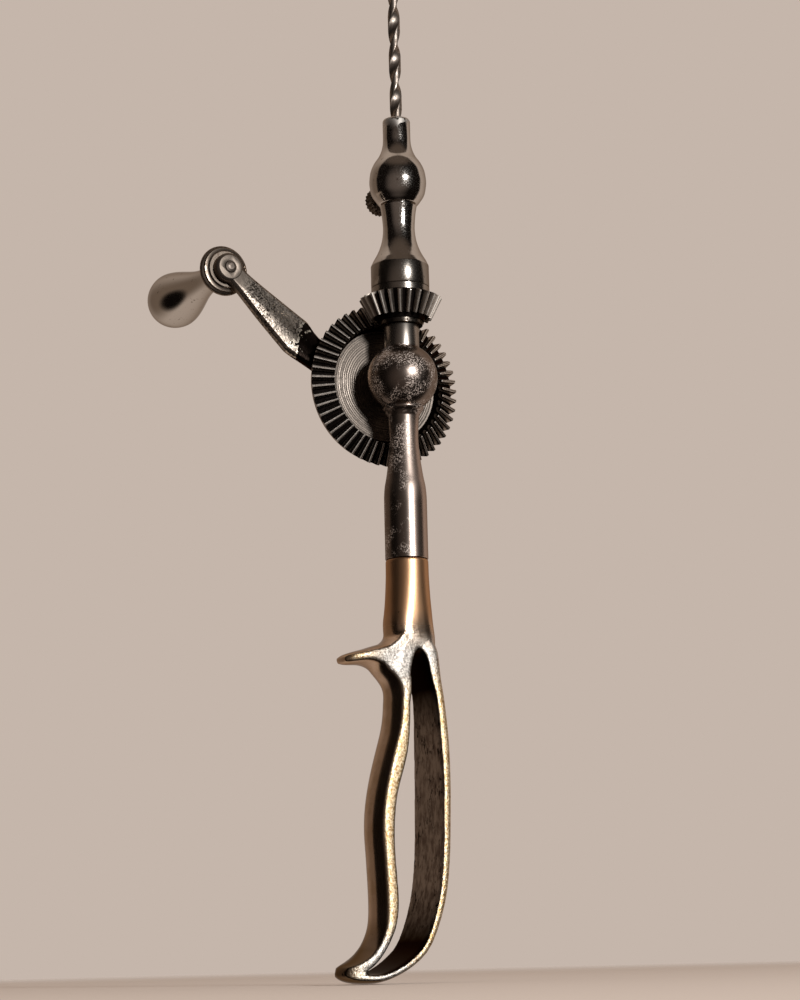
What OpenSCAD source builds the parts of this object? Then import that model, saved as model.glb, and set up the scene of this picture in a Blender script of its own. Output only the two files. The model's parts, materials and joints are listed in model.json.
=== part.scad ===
// Surgical hand drill: skeleton handle, bevel drive, crank and set-screw chuck.
// Lengths are in millimetres and angles in degrees. Each module is drawn about the
// crossing of spindle and axle, which is also the apex of both bevel gears. The whole
// is then lifted, so the row's origin lies on the spindle axis at the middle of the grip.

// Sub-part to draw, or all of them

/* [Frame] */
// Height of the axle above the middle of the grip
axle_height = 131; // [120:0.5:140]
// Diameter of the ball that carries the axle stud
ball_d = 21.8; // [18:0.1:26]
// Diameter of the neck that the spindle runs in
neck_d = 10.9; // [9.5:0.1:12]
// Top of the neck above the axle
neck_top = 16.6; // [15:0.1:17]
// Diameter of the stem where it meets the handle
stem_d = 13.2; // [12:0.1:15]
// Diameter of the stem at its waist
stem_waist_d = 8.9; // [8:0.1:11]
// Joint of stem and handle below the axle
joint_drop = 57; // [52:0.5:62]
// Diameter of the tang inside the handle
tang_d = 8.8; // [6:0.1:10]
// Length of the tang
tang_length = 17; // [10:0.5:18]

/* [Handle] */
// Length of the grip, from the top of the window to the lowest point
grip_length = 98; // [88:0.5:108]
// Length of the neck, from the joint to the top of the window
neck_length = 29; // [27:0.5:32]
// Depth of the back bar, across the handle
back_depth = 18.4; // [15:0.1:20]
// Depth of the front bar, across the handle
front_depth = 13.4; // [11:0.1:16]
// Depth of the finger hook
hook_depth = 12.6; // [10:0.1:15]
// Reach of the finger hook in front of the spindle axis
hook_reach = 23.8; // [22:0.1:27]
// How far the bars' outer faces bulge
bar_crown = 2.4; // [0.6:0.1:3]
// How much thicker or thinner the bars are than drawn
bar_gauge = 1.0; // [0.9:0.01:1.2]
// Rounding of the bars' edges
bar_round = 0.6; // [0.3:0.05:0.9]

/* [Bevel drive] */
// Module at the large end of the teeth
tooth_module = 1.0; // [0.95:0.01:1.05]
// Teeth on the drive gear
gear_teeth = 51; // [47:1:55]
// Teeth on the pinion
pinion_teeth = 24; // [22:1:26]
// Length of the teeth along the pitch cone
face_width = 7.2; // [6:0.1:8]
// Pressure angle
pressure_angle = 20; // [14.5:0.5:22.5]
// How much thinner each tooth is than half its pitch
tooth_thinning = 0.10; // [0.08:0.01:0.14]
// Gear's flat face from the spindle axis
gear_face = 11.65; // [11.5:0.05:12.5]
// Gear's back from the spindle axis
gear_back = 16.6; // [16:0.1:18]

/* [Spindle and chuck] */
// Spindle diameter
spindle_d = 6.0; // [5:0.1:6.4]
// Bush outer diameter in the neck
bush_d = 8.0; // [7.4:0.1:8.4]
// Thrust washer diameter
washer_d = 13.4; // [12:0.1:14]
// Diameter of the chuck's collar
collar_d = 18.2; // [17:0.1:19]
// Length of the straight collar
collar_length = 6.9; // [5:0.1:9]
// Length of the chuck's body, from the pinion to the seam
body_length = 26.6; // [24:0.1:28]
// Depth of the spindle's seat in the chuck
seat_depth = 15; // [12:0.5:17]
// Diameter of the chuck's waist
chuck_waist_d = 10.0; // [9.4:0.1:11]
// Diameter of the chuck's bulb
bulb_d = 17.8; // [16.8:0.1:18.4]
// Diameter of the nose
nose_d = 8.7; // [7.5:0.1:9.5]
// Mouth of the chuck above the axle
mouth_z = 84.2; // [82:0.1:90]
// Tip of the drill bit above the axle
tip_z = 128; // [115:0.5:140]
// Drill bit diameter
bit_d = 3.8; // [3:0.1:4]
// Lead of the bit's flutes
flute_lead = 26; // [18:0.5:36]

/* [Thumbscrew] */
// Height of the thumbscrew above the axle
thumb_z = 60.7; // [59:0.1:61]
// Thumbscrew head diameter
thumb_d = 9.2; // [7:0.1:9.6]
// Thumbscrew head length
thumb_length = 4.0; // [3:0.1:4.4]
// Grooves of its knurl
thumb_knurl = 22; // [16:1:30]

/* [Crank and knob] */
// Throw of the crank, from axle to knob pin
throw = 61; // [54:0.5:70]
// Angle of the crank at rest, from the back of the handle over the tip
crank_angle = 145.8; // [0:0.1:360]
// Thickness of the crank arm
arm_thickness = 3.0; // [2.5:0.1:3.2]
// Diameter of the arm's eye
eye_d = 9.1; // [8:0.1:10]
// Diameter of the arm's hub
hub_d = 17; // [16:0.5:20]
// Width of the arm at its shoulder
shoulder_width = 13.2; // [11:0.1:15]
// Bevel of the arm's front edges
arm_bevel = 0.9; // [0.4:0.1:1.2]
// Diameter of the axle stud's journal
journal_d = 8.0; // [7:0.1:8.4]
// Diameter of the knob's pin
knob_pin_d = 3.8; // [3.4:0.1:4.2]
// Diameter of the knob's flange
flange_d = 15.8; // [13:0.1:17]
// Diameter of the knob
knob_d = 18.0; // [17:0.1:20]
// Length of the knob with its flange
knob_length = 47.8; // [44:0.1:54]

/* [Hidden] */
$fn = 72;
fit = 0.01;       // radial play of pieces that are fixed together
running = 0.04;   // radial play of pieces that turn in one another
end_play = 0.05;  // play along an axis
joint_z = -joint_drop;
crotch_z = joint_z - neck_length;
neck_r = neck_d / 2;
ball_r = ball_d / 2;
spindle_r = spindle_d / 2;
pinion_r = tooth_module * pinion_teeth / 2;
gear_r = tooth_module * gear_teeth / 2;
cone = norm([pinion_r, gear_r]);
tooth_inner = (cone - face_width) / cone;
addendum = tooth_module;
dedendum = 1.3 * tooth_module;
rim_depth = 2.3 * tooth_module;
washer_z = neck_top + end_play;
pinion_z = washer_z + 1.35;
collar_z = gear_r + 3.3;
chuck_seam = collar_z + body_length;
nose_z = chuck_seam + 0.5;
spigot_r = 4;
spigot_top = nose_z + 8;
pad_z = 4.2;
bush_z = pad_z + 1.2;
spindle_low = bush_z + 0.1;
lock_z = 12.6;
tang_pin_z = joint_z - 9;
tang_pin_r = 1.25;
spindle_top = collar_z + seat_depth;
bit_low = spindle_top + 1;
arm_back = gear_back + arm_thickness;
stud_shoulder = gear_face - end_play;
spotface_r = 4.6;
stud_seat = sqrt(ball_r * ball_r - spotface_r * spotface_r) - 0.05;
bush_r = journal_d / 2 + 1.5;
knob_y = arm_back + end_play;
flange_end = knob_y + 4.4;
knob_end = knob_y + knob_length;
thumb_seat = bulb_d / 2 + 0.45;
screw_u = [13, 20.5];
screw_w = 3.4;

// Curves through a few points

function between(a, b, c, d, t) =
    0.5 * (2 * b + (c - a) * t + (2 * a - 5 * b + 4 * c - d) * t * t
           + (3 * b - a - 3 * c + d) * t * t * t);

function curve(p, n) = let (last = len(p) - 1) concat(
    [for (i = [0 : last - 1], k = [0 : n - 1])
        between(p[max(i - 1, 0)], p[i], p[i + 1], p[min(i + 2, last)], k / n)],
    [p[last]]);

function arc(r, from, to, n) = [for (k = [0 : n]) let (a = from + (to - from) * k / n)
    r * [cos(a), sin(a)]];

// A solid skin over rings that all have the same number of points
module skin(rings) {
    n = len(rings[0]);
    m = len(rings);
    polyhedron(
        points = [for (r = rings, p = r) p],
        faces = concat(
            [[for (j = [0 : n - 1]) j]],
            [[for (j = [n - 1 : -1 : 0]) (m - 1) * n + j]],
            [for (i = [0 : m - 2], j = [0 : n - 1])
                [i * n + j, (i + 1) * n + j, (i + 1) * n + (j + 1) % n]],
            [for (i = [0 : m - 2], j = [0 : n - 1])
                [i * n + j, (i + 1) * n + (j + 1) % n, i * n + (j + 1) % n]]),
        convexity = 6);
}

// Ring of a bar with rounded edges, whose face on the right of its path bulges. The bar's
// middle is at p = [x, z, thickness, depth, bulge], and the path runs along t = [x, z].
function bar_ring(p, t) = let (
        n = [-t[1], t[0]] / norm(t),
        a = p[2] / 2,
        b = p[3] / 2,
        r = min(bar_round, 0.9 * a, 0.9 * b),
        corner = function (c, k) let (g = 90 * c + 45 * k)
            [(c == 0 || c == 3 ? a - r : r - a) + r * cos(g), (c < 2 ? r - b : b - r) - r * sin(g)],
        flat = concat(
            [for (c = [0, 1], k = [0 : 2]) corner(c, k)],
            [for (i = [-2 : 2]) [-a, 0.4 * i * (b - r)]],
            [for (c = [2, 3], k = [0 : 2]) corner(c, k)]))
    [for (q = flat) let (u = q[0] - (q[0] < 0 ? p[4] * (1 - pow(q[1] / b, 2)) : 0))
        [p[0] + u * n[0], q[1], p[1] + u * n[1]]];

module bar(points, n) {
    p = curve(points, n);
    m = len(p);
    skin([for (i = [0 : m - 1]) let (d = p[min(i + 1, m - 1)] - p[max(i - 1, 0)])
        bar_ring(p[i], [d[0], d[1]])]);
}

// Bevel gears

function involute(a) = tan(a) * 180 / PI - a;

// Half of a tooth's angle at height h above the pitch line, from the gear's equivalent spur gear
function half_tooth(r, pitch_angle, h) = let (
        v = r / cos(pitch_angle),
        base = v * cos(pressure_angle),
        at = v + h > base ? acos(base / (v + h)) : 0,
        s = PI * tooth_module / 2 - tooth_thinning)
    (s / (2 * v) * 180 / PI + involute(pressure_angle) - involute(at)) / cos(pitch_angle);

function cone_point(r, mate_r, h, a) = let (g = atan2(r, mate_r), q = r + h * cos(g))
    [q * cos(a), q * sin(a), mate_r - h * sin(g)];

// Profile point of a gear's body, [radius, height], s of the way down the cone
function body_point(r, mate_r, h, s) = let (p = cone_point(r, mate_r, h, 0)) s * [p[0], p[2]];

// The toothed ring, about +Z with its apex at the origin; phase is a tooth's angle
module bevel_ring(n, r, mate_r, phase) {
    g = atan2(r, mate_r);
    up = [-dedendum, -0.55 * tooth_module, 0, 0.5 * tooth_module, addendum];
    k = len(up);
    p = 2 * k;
    large = [for (i = [0 : n - 1], j = [0 : p - 1]) let (
            h = j < k ? up[j] : up[p - 1 - j],
            a = phase + 360 * i / n + (j < k ? -1 : 1) * half_tooth(r, g, h))
        cone_point(r, mate_r, h, a)];
    under = [for (i = [0 : n - 1], side = [-1, 1])
        cone_point(r, mate_r, -rim_depth,
                   phase + 360 * i / n + side * half_tooth(r, g, -dedendum))];
    o = function (i, j) (i % n) * p + j;
    q = function (i, j) n * p + (i % n) * p + j;
    uo = function (i, j) 2 * n * p + 2 * (i % n) + j;
    ui = function (i, j) 2 * n * p + 2 * n + 2 * (i % n) + j;
    teeth = [0 : n - 1];
    polyhedron(
        points = concat(large, tooth_inner * large, under, tooth_inner * under),
        faces = concat(
            [for (i = teeth, j = [0 : p - 2]) [o(i, j), o(i, j + 1), q(i, j + 1), q(i, j)]],
            [for (i = teeth) [o(i, p - 1), o(i + 1, 0), q(i + 1, 0), q(i, p - 1)]],
            [for (i = teeth) concat([uo(i, 1)], [for (j = [p - 1 : -1 : 0]) o(i, j)], [uo(i, 0)])],
            [for (i = teeth) concat([ui(i, 0)], [for (j = [0 : p - 1]) q(i, j)], [ui(i, 1)])],
            [for (i = teeth) [uo(i + 1, 0), o(i + 1, 0), o(i, p - 1), uo(i, 1)]],
            [for (i = teeth) [ui(i, 1), q(i, p - 1), q(i + 1, 0), ui(i + 1, 0)]],
            [for (i = teeth) [ui(i, 0), ui(i, 1), uo(i, 1), uo(i, 0)]],
            [for (i = teeth) [ui(i, 1), ui(i + 1, 0), uo(i + 1, 0), uo(i, 1)]]),
        convexity = 10);
}

// Turning a piece drawn about +Z to lie along +Y

module along_y() { rotate([-90, 0, 0]) children(); }

module rod_y(r, from, to) { translate([0, from, 0]) along_y() cylinder(r = r, h = to - from); }

module tube(r, bore_r, from, to) {
    translate([0, 0, from]) difference() {
        cylinder(r = r, h = to - from);
        translate([0, 0, -1]) cylinder(r = bore_r, h = to - from + 2);
    }
}

// Frame

// Where the ball ends and the ring under it starts
ball_end = ball_r * [cos(56), -sin(56)];

function stem_profile() =
    let (w = stem_waist_d / 2, r = stem_d / 2, d = joint_z, tip = joint_z - tang_length)
    concat(
        [[0, neck_top], [neck_r - 0.4, neck_top], [neck_r, neck_top - 0.4]],
        arc(ball_r, acos(neck_r / ball_r), -56, 40),
        [for (q = [[0.15, -0.31], [0.25, -0.86], [-0.05, -1.56], [-0.8, -2.16]]) ball_end + q],
        curve([[w + 0.4, 0.214 * d], [w + 0.1, 0.281 * d], [w, 0.351 * d], [r - 1.8, 0.43 * d],
               [r - 1.3, 0.5 * d], [r - 0.85, 0.553 * d], [r - 0.3, 0.604 * d], [r - 0.05, 0.658 * d],
               [r, 0.719 * d]], 4),
        [[r, d], [tang_d / 2, d], [tang_d / 2, tip + 0.8], [tang_d / 2 - 0.8, tip], [0, tip]]);

module frame_stem() {
    color("#3b3a38") difference() {
        rotate_extrude() polygon(stem_profile());
        translate([0, 0, pad_z]) cylinder(r = bush_d / 2 + fit, h = neck_top);
        rod_y(3 + fit, 1.5, ball_d);
        rod_y(spotface_r, stud_seat, ball_d);
        translate([0, 0, lock_z]) rod_y(1 + fit, 0, neck_d);
        translate([0, 0, tang_pin_z]) rod_y(tang_pin_r + fit, -3, tang_d);
    }
}

module spindle_bush() {
    color("#a8793c") difference() {
        tube(bush_d / 2, spindle_r + running, bush_z, neck_top);
        translate([0, 0, lock_z]) rod_y(1 + fit, 0, bush_d);
    }
}

module thrust_pad() {
    color("#8d8f92") translate([0, 0, pad_z]) cylinder(r = bush_d / 2 - 0.02, h = bush_z - pad_z);
}

module spindle_screw() {
    color("#55555a") translate([0, 0, lock_z]) difference() {
        union() {
            rod_y(1, spindle_r + 0.2, neck_r - 0.35);
            rod_y(0.6, spindle_r - 0.45, spindle_r + 0.3);
        }
        translate([-1.2, neck_r - 0.85, -0.2]) cube([2.4, 1, 0.4]);
    }
}

module axle_stud() {
    color("#8d8f92") difference() {
        union() {
            rod_y(3, 1.6, stud_seat + 0.2);
            rod_y(spotface_r - 0.1, stud_seat, stud_shoulder);
            rod_y(journal_d / 2, stud_shoulder - 0.2, arm_back + end_play);
        }
        rod_y(1.5 + fit, stud_seat + 1, arm_back + 2);
    }
}

module axle_washer() {
    color("#77787a") translate([0, arm_back + end_play, 0]) along_y() tube(bush_r + 1.4, 1.7, 0, 1);
}

module axle_screw() {
    head = arm_back + end_play + 1;
    color("#6c6d70") difference() {
        union() {
            rod_y(1.5, stud_seat + 2.5, head + 0.3);
            translate([0, head, 0]) along_y()
                rotate_extrude() polygon([[0, 0], [4, 0], [4, 1.4], [3.4, 2], [0, 2.3]]);
        }
        translate([-5, head + 1.1, -0.4]) cube([10, 3, 0.8]);
    }
}

// Handle

function grip(f) = crotch_z - grip_length * f;

// Ring of the neck, at s = [share of its length, middle, half width, half depth, power]
function neck_ring(s) = [for (k = [0 : 27]) let (
        a = -360 * k / 28, c = cos(a), d = sin(a), e = 2 / s[4])
    [s[1] + s[2] * sign(c) * pow(abs(c), e),
     s[3] * sign(d) * pow(abs(d), e),
     joint_z - neck_length * s[0]]];

// From the round joint to the crotch
module handle_neck() {
    r = stem_d / 2;
    skin([for (s = curve([
            [0, 0, r, r, 2], [0.172, 0, r + 0.05, r, 2], [0.379, -0.05, r + 0.3, r, 2.1],
            [0.552, -0.1, r + 0.6, r, 2.3], [0.69, -0.2, r + 0.85, r, 2.6],
            [0.862, 0.25, r + 0.6, r - 0.1, 3.2], [0.96, 0.4, r, r - 0.3, 3.6]], 3))
        neck_ring(s)]);
}

// From the hook's tip round the knee, down the finger waves to the toe
module front_bar() {
    g = bar_gauge;
    d = front_depth;
    h = hook_depth;
    k = hook_reach;
    w = bar_crown;
    bar([[-k, grip(0.028), 2.2 * g, 0.36 * h, 0.12 * w],
         [-0.93 * k, grip(0.025), 2.4 * g, 0.67 * h, 0.25 * w],
         [-0.815 * k, grip(0.02), 2.4 * g, 0.9 * h, 0.4 * w],
         [-0.68 * k, grip(0.015), 2.6 * g, h, 0.55 * w],
         [-0.56 * k, grip(0.016), 3.2 * g, h, 0.7 * w], [-0.44 * k, grip(0.022), 4 * g, h, 0.85 * w],
         [-8.8, grip(0.034), 4.6 * g, h, 0.95 * w], [-6.8, grip(0.05), 4.8 * g, d, w],
         [-5, grip(0.076), 4.4 * g, d, w], [-4.25, grip(0.102), 3.4 * g, d, w],
         [-4.2, grip(0.129), 2.7 * g, d, w], [-4.5, grip(0.153), 2.5 * g, d, w],
         [-4.75, grip(0.194), 2.6 * g, d, w], [-5.35, grip(0.245), 3.25 * g, d, w],
         [-6.75, grip(0.309), 4.2 * g, d, w], [-8.6, grip(0.372), 4.1 * g, d, w],
         [-10.15, grip(0.43), 3.7 * g, d, w], [-11.05, grip(0.488), 3.65 * g, d, w],
         [-11.4, grip(0.546), 3.5 * g, d, w], [-11.25, grip(0.604), 3.15 * g, d, w],
         [-10.85, grip(0.673), 3.25 * g, d, w], [-10.5, grip(0.755), 3.4 * g, d, w],
         [-10.95, grip(0.815), 3 * g, d, w], [-12.25, grip(0.855), 2.6 * g, d, 0.9 * w],
         [-14.55, grip(0.896), 2.4 * g, d, 0.8 * w], [-17.6, grip(0.929), 2.7 * g, d, 0.65 * w],
         [-20.6, grip(0.948), 3 * g, 0.94 * d, 0.5 * w], [-23.5, grip(0.956), 2.6 * g, 0.77 * d, 0.35 * w],
         [-25.3, grip(0.957), 2.2 * g, 0.55 * d, 0.2 * w],
         [-26, grip(0.956), 1.8 * g, 0.33 * d, 0.1 * w]], 2);
}

// The web above the hook, from the neck to the hook's tip
module hook_web() {
    h = hook_depth;
    k = hook_reach;
    w = 0.6 * bar_crown;
    bar([[-3.8, grip(0.0075), 14.2, h, w], [-5, grip(0.0075), 13.2, h, w],
         [-6.9, grip(0.0075), 8.7, h, w], [-8.55, grip(0.0075), 6.1, h, w],
         [-0.41 * k, grip(0.008), 4.4, h, w], [-0.48 * k, grip(0.008), 3.3, h, w],
         [-0.57 * k, grip(0.009), 2.5, h, 0.9 * w], [-0.68 * k, grip(0.0125), 2, h, 0.7 * w],
         [-0.815 * k, grip(0.0178), 1.9, 0.9 * h, 0.5 * w],
         [-0.93 * k, grip(0.0225), 1.6, 0.67 * h, 0.3 * w],
         [-0.99 * k, grip(0.0265), 1.4, 0.36 * h, 0.1 * w]], 3);
}

// The front half of the arch over the window
module arch() {
    d = front_depth;
    bar([[-0.1, grip(-0.034), 4, 0.93 * d, 0], [-1.87, grip(-0.025), 5, 0.95 * d, 0],
         [-3.35, grip(-0.007), 5, 0.97 * d, 0], [-4.45, grip(0.02), 5, 0.985 * d, 0],
         [-5.05, grip(0.057), 4.6, d, 0], [-4.85, grip(0.09), 3.6, d, 0],
         [-4.35, grip(0.118), 2.6, d, 0]], 3);
}

// From the toe up the back of the grip and over the window
module back_bar() {
    g = bar_gauge;
    d = back_depth;
    w = bar_crown;
    bar([[-26, grip(0.9585), 1.6 * g, 0.24 * d, 0.1 * w], [-25.1, grip(0.965), 2 * g, 0.43 * d, 0.2 * w],
         [-22.9, grip(0.974), 2.1 * g, 0.62 * d, 0.3 * w],
         [-18.9, grip(0.979), 1.9 * g, 0.77 * d, 0.38 * w],
         [-13.8, grip(0.974), 1.9 * g, 0.92 * d, 0.42 * w],
         [-6.35, grip(0.937), 2.1 * g, 0.99 * d, 0.45 * w],
         [-0.45, grip(0.877), 2.2 * g, d, 0.5 * w], [4.05, grip(0.757), 2.4 * g, d, 0.75 * w],
         [5.85, grip(0.636), 2.4 * g, d, w], [6.45, grip(0.516), 2.5 * g, d, w],
         [6.75, grip(0.394), 2.6 * g, d, w], [6.7, grip(0.272), 2.8 * g, 0.94 * d, w],
         [6.1, grip(0.148), 2.6 * g, 0.84 * d, w], [5.15, grip(0.087), 3.1 * g, 0.79 * d, w],
         [4.4, grip(0.021), 3.8 * g, 0.74 * d, w], [3.85, grip(-0.002), 4.3 * g, 0.72 * d, 0.9 * w],
         [2.73, grip(-0.021), 4.8 * g, 0.7 * d, 0.6 * w],
         [1.57, grip(-0.03), 4.8 * g, 0.67 * d, 0.3 * w]], 3);
}

module handle() {
    color("#b99a55") difference() {
        union() {
            handle_neck();
            front_bar();
            hook_web();
            arch();
            back_bar();
        }
        translate([0, 0, joint_z - tang_length - 0.5]) cylinder(r = tang_d / 2 + fit, h = tang_length + 1);
        translate([0, 0, tang_pin_z]) rod_y(tang_pin_r + fit, 0, stem_d);
    }
}

module tang_pin() {
    color("#9a8a5a") translate([0, 0, tang_pin_z]) rod_y(tang_pin_r, -2.9, stem_d / 2 - 0.1);
}

// Spindle and chuck

module spindle() {
    color("#8d8f92") rotate_extrude() polygon([[0, spindle_low], [spindle_r - 0.4, spindle_low],
        [spindle_r, spindle_low + 0.4], [spindle_r, lock_z - 0.8], [spindle_r - 0.6, lock_z - 0.8],
        [spindle_r - 0.6, lock_z + 0.8], [spindle_r, lock_z + 0.8], [spindle_r, spindle_top - 0.4],
        [spindle_r - 0.4, spindle_top], [0, spindle_top]]);
}

module thrust_washer() { color("#a6a7a8") tube(washer_d / 2, spindle_r + fit, washer_z, pinion_z); }

module pinion() {
    low = body_point(pinion_r, gear_r, -1.8 * tooth_module, tooth_inner + 0.01);
    high = body_point(pinion_r, gear_r, -1.8 * tooth_module, 0.99);
    color("#9b9c9e") difference() {
        union() {
            bevel_ring(pinion_teeth, pinion_r, gear_r, 0);
            rotate_extrude() polygon([
                [spindle_r + fit, pinion_z], [low[0] - 0.7, pinion_z], [low[0], low[1]], [high[0], high[1]],
                [collar_d / 2, high[1] + 0.7], [collar_d / 2, collar_z - 0.25],
                [collar_d / 2 - 0.25, collar_z], [spindle_r + fit, collar_z]]);
        }
        translate([0, 0, collar_z - 1.25]) rod_y(0.8 + fit, 0, collar_d);
    }
}

module pinion_pin() {
    color("#77787a") translate([0, 0, collar_z - 1.25]) rod_y(0.8, spindle_r + 0.1, collar_d / 2 - 0.1);
}

module chuck_body() {
    c = collar_d / 2;
    w = chuck_waist_d / 2;
    z = collar_z;
    shoulder = collar_z + collar_length;
    rise = body_length - collar_length;
    color("#c9c9c6") difference() {
        rotate_extrude() polygon(concat(
            [[0, z], [c - 0.25, z], [c, z + 0.25], [c, shoulder], [c - 0.2, shoulder + 0.02 * rise]],
            [for (q = curve([[c - 0.75, 0.086], [c - 1.95, 0.193], [w + 1.2, 0.3], [w + 0.4, 0.437],
                             [w, 0.6], [w + 0.1, 0.751], [w + 0.4, 0.893], [w + 0.75, 1]], 4))
                [q[0], shoulder + q[1] * rise]],
            [[w + 0.2, chuck_seam], [w + 0.2, nose_z], [spigot_r, nose_z], [spigot_r, spigot_top - 0.4],
             [spigot_r - 0.4, spigot_top], [0, spigot_top]]));
        translate([0, 0, z - 1]) cylinder(r = spindle_r + fit, h = spindle_top - z + 1);
        translate([0, 0, z]) cylinder(r = bit_d / 2 + fit, h = spigot_top);
        translate([0, 0, thumb_z]) rod_y(2 + running, 0, 9);
    }
}

module chuck_nose() {
    w = chuck_waist_d / 2;
    b = bulb_d / 2;
    n = nose_d / 2;
    z = nose_z;
    rise = mouth_z - nose_z;
    color("#cfcfcc") difference() {
        rotate_extrude() polygon(concat(
            [[0, z]],
            [for (q = curve([[w + 0.95, 0], [w + 2.0, 0.042], [b - 0.65, 0.117], [b - 0.06, 0.212],
                             [b, 0.29], [b - 0.45, 0.389], [b - 1.5, 0.473], [n + 1.6, 0.551],
                             [n + 0.65, 0.625], [n + 0.13, 0.703], [n, 0.77]], 4))
                [q[0], z + q[1] * rise]],
            [[n, mouth_z - 0.9], [n - 0.3, mouth_z - 0.3], [n - 0.9, mouth_z], [0, mouth_z]]));
        translate([0, 0, z - 1]) cylinder(r = spigot_r + fit, h = spigot_top - z + 1.1);
        translate([0, 0, z]) cylinder(r = bit_d / 2 + fit, h = mouth_z);
        translate([0, 0, mouth_z - 0.8]) cylinder(r1 = bit_d / 2, r2 = bit_d / 2 + 0.9, h = 0.81);
        translate([0, 0, thumb_z]) rod_y(2 + running, 0, bulb_d);
    }
}

// Radius of the bit's section: two lands, and two flutes that are deepest at 90 degrees
function bit_reach(a) = 1 - 0.48 * pow(max(0, (abs(sin(a)) - 0.5) / 0.5), 1.2);

function bit_ring(z, s) = [for (k = [0 : 17]) let (
        a = 20 * k, r = s * bit_d / 2 * bit_reach(a), g = a + 360 * z / flute_lead)
    [r * cos(g), r * sin(g), z]];

module drill_bit() {
    point = 1.05;
    low = mouth_z - 1;
    steps = 66;
    color("#8f8f90") union() {
        translate([0, 0, bit_low]) cylinder(r = bit_d / 2, h = mouth_z - 0.2 - bit_low);
        skin([for (k = [0 : steps + 1]) k > steps ? bit_ring(tip_z, 0.1)
            : bit_ring(low + (tip_z - point - low) * k / steps, 0.995)]);
    }
}

module thumbscrew() {
    r = thumb_d / 2;
    n = thumb_knurl;
    color("#4a463f") translate([0, 0, thumb_z]) union() {
        rod_y(2, bit_d / 2 + 0.05, thumb_seat + 0.3);
        translate([0, thumb_seat, 0]) along_y() linear_extrude(thumb_length)
            polygon([for (k = [0 : 4 * n - 1]) let (a = 90 * k / n)
                (k % 4 < 2 ? r : r - 0.28) * [cos(a), sin(a)]]);
        rod_y(r - 0.7, thumb_seat + thumb_length - 0.2, thumb_seat + thumb_length + 0.45);
    }
}

// Crank, gear and knob

module drive_gear() {
    low = body_point(gear_r, pinion_r, -1.8 * tooth_module, tooth_inner + 0.01);
    high = body_point(gear_r, pinion_r, -1.8 * tooth_module, 0.99);
    turn = 360 / gear_teeth;
    color("#8b8a88") along_y() difference() {
        union() {
            bevel_ring(gear_teeth, gear_r, pinion_r, 270 - (floor(270 / turn) + 0.5) * turn);
            rotate_extrude() polygon([
                [bush_r + fit, gear_face], [low[0] - 0.9, gear_face], [low[0], low[1]], [high[0], high[1]],
                [high[0] - 0.3, gear_back - 1.6], [high[0] - 1.6, gear_back],
                [bush_r + fit, gear_back]]);
        }
        for (u = screw_u) rotate(-crank_angle)
            translate([u, -screw_w, 12.9]) cylinder(r = 1.5 + fit, h = 6);
    }
}

module gear_bush() {
    color("#a8793c") along_y() tube(bush_r, journal_d / 2 + running, gear_face, arm_back);
}

// Edges of the arm: [distance from the axle, upper edge, lower edge]
function arm_edges() = let (t = throw, k = shoulder_width) [
    [0, -7.6, 7.6], [0.15 * t, -5.6, 7.8], [0.3 * t, -2.2, 8.2], [0.41 * t, -1.3, 0.67 * k],
    [0.5 * t, -0.21 * k, 0.715 * k], [0.55 * t, -0.21 * k, 0.685 * k], [0.73 * t, -2.5, 0.51 * k],
    [0.88 * t, -2.4, 0.34 * k], [0.96 * t, -2.8, 0.27 * k], [t, -3.2, 3.4]];

// Section of the arm, flat behind and bevelled in front
function arm_ring(e) = let (u = e[0], b = arm_bevel, f = gear_back + 0.12, r = arm_back - 0.12)
    [[u, r, e[1]], [u, r, e[2]], [u, f + b, e[2]], [u, f, e[2] - b], [u, f, e[1] + b], [u, f + b, e[1]]];

module crank_arm() {
    eye = eye_d / 2;
    color("#b4b2ac") rotate([0, -crank_angle, 0]) difference() {
        union() {
            skin([for (e = curve(arm_edges(), 3)) arm_ring(e)]);
            translate([0, gear_back, 0]) along_y() cylinder(d = hub_d, h = arm_thickness);
            translate([throw, gear_back, 0]) along_y() rotate_extrude() polygon([[0, 0], [eye - 0.8, 0],
                [eye - 0.45, 0.3], [eye, 0.75], [eye, arm_thickness], [0, arm_thickness]]);
        }
        rod_y(bush_r + fit, gear_back - 1, arm_back + 1);
        translate([throw, 0, 0]) rod_y(knob_pin_d / 2 + fit, gear_back - 1, arm_back + 1);
        for (u = screw_u) translate([u, 0, screw_w]) rod_y(1.5 + fit, gear_back - 1, arm_back + 1);
    }
}

module arm_screw(u) {
    color("#6c6d70") along_y() rotate(-crank_angle) translate([u, -screw_w, 0]) difference() {
        union() {
            translate([0, 0, 13]) cylinder(r = 1.5, h = arm_back - 12.8);
            translate([0, 0, arm_back])
                rotate_extrude() polygon([[0, 0], [2.7, 0], [2.5, 0.7], [1.6, 1.2], [0, 1.4]]);
        }
        translate([-3, -0.3, arm_back + 0.7]) cube([6, 0.6, 2]);
    }
}

module at_eye() {
    translate([throw * cos(crank_angle), 0, throw * sin(crank_angle)]) children();
}

module knob_pin() {
    r = knob_pin_d / 2;
    head = knob_end - 2.6;
    color("#b9b7b0") at_eye() along_y() difference() {
        rotate_extrude() polygon([
            [0, gear_back - 0.7], [r - 0.9, gear_back - 0.6], [r - 0.25, gear_back - 0.3], [r, gear_back],
            [r, head], [r + 1.5, head], [r + 1.5, head + 1.7], [r + 1.1, head + 2], [0, head + 2.15]]);
        translate([-5, -0.35, head + 1.2]) cube([10, 0.7, 3]);
    }
}

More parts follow.
